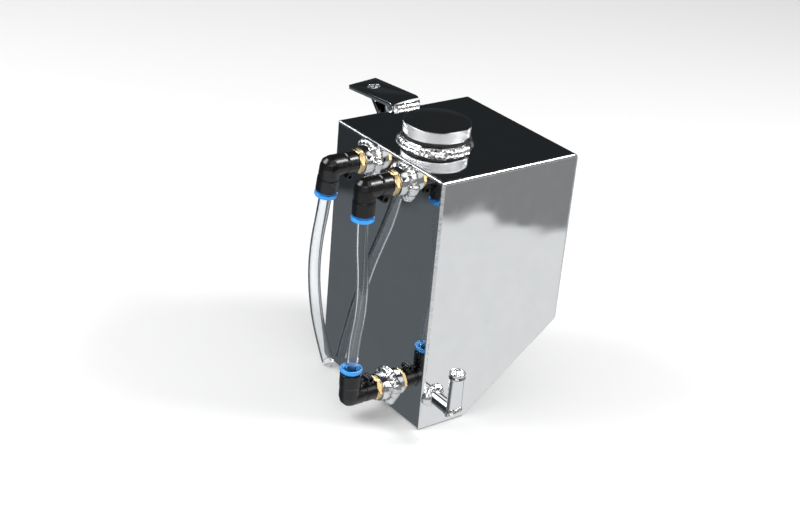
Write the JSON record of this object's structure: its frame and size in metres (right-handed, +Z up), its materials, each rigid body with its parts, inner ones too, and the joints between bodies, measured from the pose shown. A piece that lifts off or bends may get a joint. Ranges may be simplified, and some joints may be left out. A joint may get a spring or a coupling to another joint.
{
  "type": "hydraulic reservoir",
  "caption": "Welded aluminium fluid reservoir with knurled screw cap, clear sight tube on push-in elbows, overflow tube, side bracket and mitred outlet pipe.",
  "frame": {"origin": "middle of the hole in the mounting bracket", "axes": "+Z up along the outlet pipe's upright, -Y out of the front that carries the fittings, -X towards the bracket"},
  "size_m": [0.1878, 0.1429, 0.186],
  "materials": {
    "polished_aluminium": "mirror polished",
    "dressed_weld": "ground and polished weld",
    "raw_weld": "rough weld bead",
    "turned_aluminium": "machined and polished",
    "brass": "satin machined",
    "black_plastic": "satin moulded",
    "blue_plastic": "gloss moulded",
    "clear_tube": "clear polyurethane",
    "rubber": "matt",
    "stainless_steel": "bright strip"
  },
  "bodies": {
    "tank": {"brace_lower_weld": "raw_weld", "brace_upper_weld": "raw_weld", "bracket_brace": "polished_aluminium", "bracket_weld": "raw_weld", "filler_neck": "turned_aluminium", "filler_neck_weld": "raw_weld", "front_lower_seam_weld": "dressed_weld", "front_plate": "polished_aluminium", "front_upper_seam_weld": "dressed_weld", "left_seam_weld": "dressed_weld", "left_side_plate": "polished_aluminium", "lower_sight_bung": "turned_aluminium", "lower_sight_bung_weld": "raw_weld", "lower_sight_elbow": "black_plastic", "lower_sight_grip_ring": "stainless_steel", "lower_sight_stem": "brass", "lower_sight_swivel_seal": "rubber", "lower_sight_tube_seal": "rubber", "mounting_bracket": "polished_aluminium", "outlet_base_weld": "raw_weld", "outlet_mitre_weld": "raw_weld", "outlet_stub": "polished_aluminium", "outlet_upright": "polished_aluminium", "overflow_bung": "turned_aluminium", "overflow_bung_weld": "raw_weld", "overflow_stem": "brass", "overflow_swivel_seal": "rubber", "right_seam_weld": "dressed_weld", "right_side_plate": "polished_aluminium", "sight_tube": "clear_tube", "tank_wrap": "polished_aluminium", "upper_sight_bung": "turned_aluminium", "upper_sight_bung_weld": "raw_weld", "upper_sight_elbow": "black_plastic", "upper_sight_grip_ring": "stainless_steel", "upper_sight_stem": "brass", "upper_sight_swivel_seal": "rubber", "upper_sight_tube_seal": "rubber"},
    "cap_seal": {"cap_gasket": "rubber"},
    "cap": {"filler_cap": "turned_aluminium"},
    "overflow_swivel": {"overflow_elbow": "black_plastic", "overflow_grip_ring": "stainless_steel", "overflow_tube_seal": "rubber", "overflow_tube": "clear_tube"},
    "overflow_release": {"overflow_collar": "blue_plastic"},
    "upper_sight_release": {"upper_sight_collar": "blue_plastic"},
    "lower_sight_release": {"lower_sight_collar": "blue_plastic"}
  },
  "joints": [
    {"name": "cap_lift", "type": "slide", "parent": "tank", "child": "cap_seal", "axis": [0, 0, 1], "range_m": [0, 0.009]},
    {"name": "cap_turn", "type": "hinge", "parent": "cap_seal", "child": "cap", "pos_m": [0.09197, -0.01788, 0.0098], "axis": [0, 0, 1], "range_deg": [0, 1080]},
    {"name": "overflow_turn", "type": "hinge", "parent": "tank", "child": "overflow_swivel", "pos_m": [0.07367, -0.07388, -0.0122], "axis": [0, 1, 0], "range_deg": [-12, 180]},
    {"name": "overflow_collar_press", "type": "slide", "parent": "overflow_swivel", "child": "overflow_release", "axis": [0.1564, 0, 0.9877], "range_m": [0, 0.0012], "stiffness_N_per_m": 500, "springref_m": -0.002},
    {"name": "upper_sight_collar_press", "type": "slide", "parent": "tank", "child": "upper_sight_release", "axis": [0, 0, 1], "range_m": [0, 0.0012], "stiffness_N_per_m": 500, "springref_m": -0.002},
    {"name": "lower_sight_collar_press", "type": "slide", "parent": "tank", "child": "lower_sight_release", "axis": [0, 0, -1], "range_m": [0, 0.0012], "stiffness_N_per_m": 500, "springref_m": -0.002}
  ],
  "couplings": [
    {"joint": "cap_lift", "follows": "cap_turn", "m_per_rad": 0.00047746}
  ]
}
